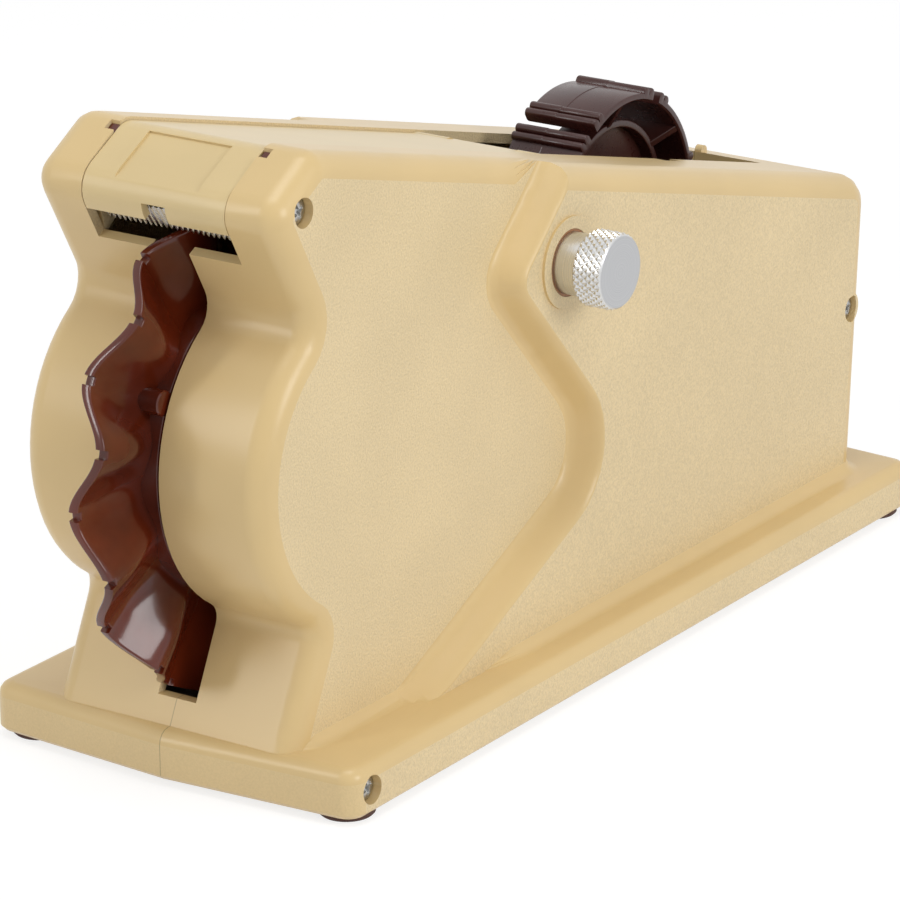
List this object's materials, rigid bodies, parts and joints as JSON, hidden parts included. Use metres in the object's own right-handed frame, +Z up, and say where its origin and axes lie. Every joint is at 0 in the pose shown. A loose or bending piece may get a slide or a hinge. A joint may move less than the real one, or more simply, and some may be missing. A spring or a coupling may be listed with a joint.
{
  "type": "definite length tape dispenser",
  "caption": "Counter tape dispenser with a moulded two-half housing on a wide base, a wavy notched feed wheel, toothed blade under a hinged nose cover, split core reel and side knob.",
  "frame": {"origin": "on the floor under the feet, below the middle of the base", "axes": "+X to the knob side, +Y to the rear, +Z up; the tape leaves towards -Y"},
  "size_m": [0.1311, 0.3438, 0.1834],
  "materials": {
    "housing_left": "fine moulded grain on the sides, satin on the rounded edges",
    "housing_right": "fine moulded grain on the sides, satin on the rounded edges",
    "top_cover": "satin",
    "cover_hinge_pin": "ground",
    "cutter_blade": "bright rolled steel",
    "blade_holder": "plain",
    "blade_rivets": "plain",
    "feed_wheel": "glossy",
    "wheel_bushes": "sintered bronze",
    "wheel_axle": "ground",
    "wheel_washers": "natural nylon",
    "reel": "satin",
    "reel_axle": "ground",
    "reel_spacers": "satin",
    "reel_clips": "plain",
    "guide_roller": "matt",
    "roller_shaft": "ground",
    "knurled_knob": "turned, knurled rim",
    "knob_pin": "plain",
    "roller_bush": "satin",
    "tension_spring": "drawn wire",
    "friction_washer": "felt",
    "case_screws": "zinc plated",
    "screw_inserts": "plain",
    "bottom_plate": "plain sheet",
    "feet": "matt",
    "foot_screws": "plain"
  },
  "bodies": {
    "frame": {"housing_left": "housing_left", "housing_right": "housing_right", "cover_hinge_pin": "cover_hinge_pin", "wheel_axle": "wheel_axle", "wheel_washers": "wheel_washers", "reel_axle": "reel_axle", "reel_spacers": "reel_spacers", "reel_clips": "reel_clips", "roller_bush": "roller_bush", "tension_spring": "tension_spring", "friction_washer": "friction_washer", "case_screws": "case_screws", "screw_inserts": "screw_inserts", "bottom_plate": "bottom_plate", "feet": "feet", "foot_screws": "foot_screws"},
    "cover": {"top_cover": "top_cover", "cutter_blade": "cutter_blade", "blade_holder": "blade_holder", "blade_rivets": "blade_rivets"},
    "wheel": {"feed_wheel": "feed_wheel", "wheel_bushes": "wheel_bushes"},
    "core_reel": {"reel": "reel"},
    "roller": {"guide_roller": "guide_roller", "roller_shaft": "roller_shaft", "knurled_knob": "knurled_knob", "knob_pin": "knob_pin"}
  },
  "joints": [
    {"name": "cover_hinge", "type": "hinge", "parent": "frame", "child": "cover", "pos_m": [0, 0.0045, 0.14204], "axis": [-1, 0, 0], "range_deg": [0, 60]},
    {"name": "wheel_turn", "type": "hinge", "parent": "frame", "child": "wheel", "pos_m": [0, -0.114, 0.091], "axis": [1, 0, 0], "continuous": true},
    {"name": "reel_turn", "type": "hinge", "parent": "frame", "child": "core_reel", "pos_m": [0, 0.065, 0.112], "axis": [1, 0, 0], "continuous": true},
    {"name": "knob_turn", "type": "hinge", "parent": "frame", "child": "roller", "pos_m": [0, -0.0268, 0.12669], "axis": [1, 0, 0], "continuous": true}
  ]
}
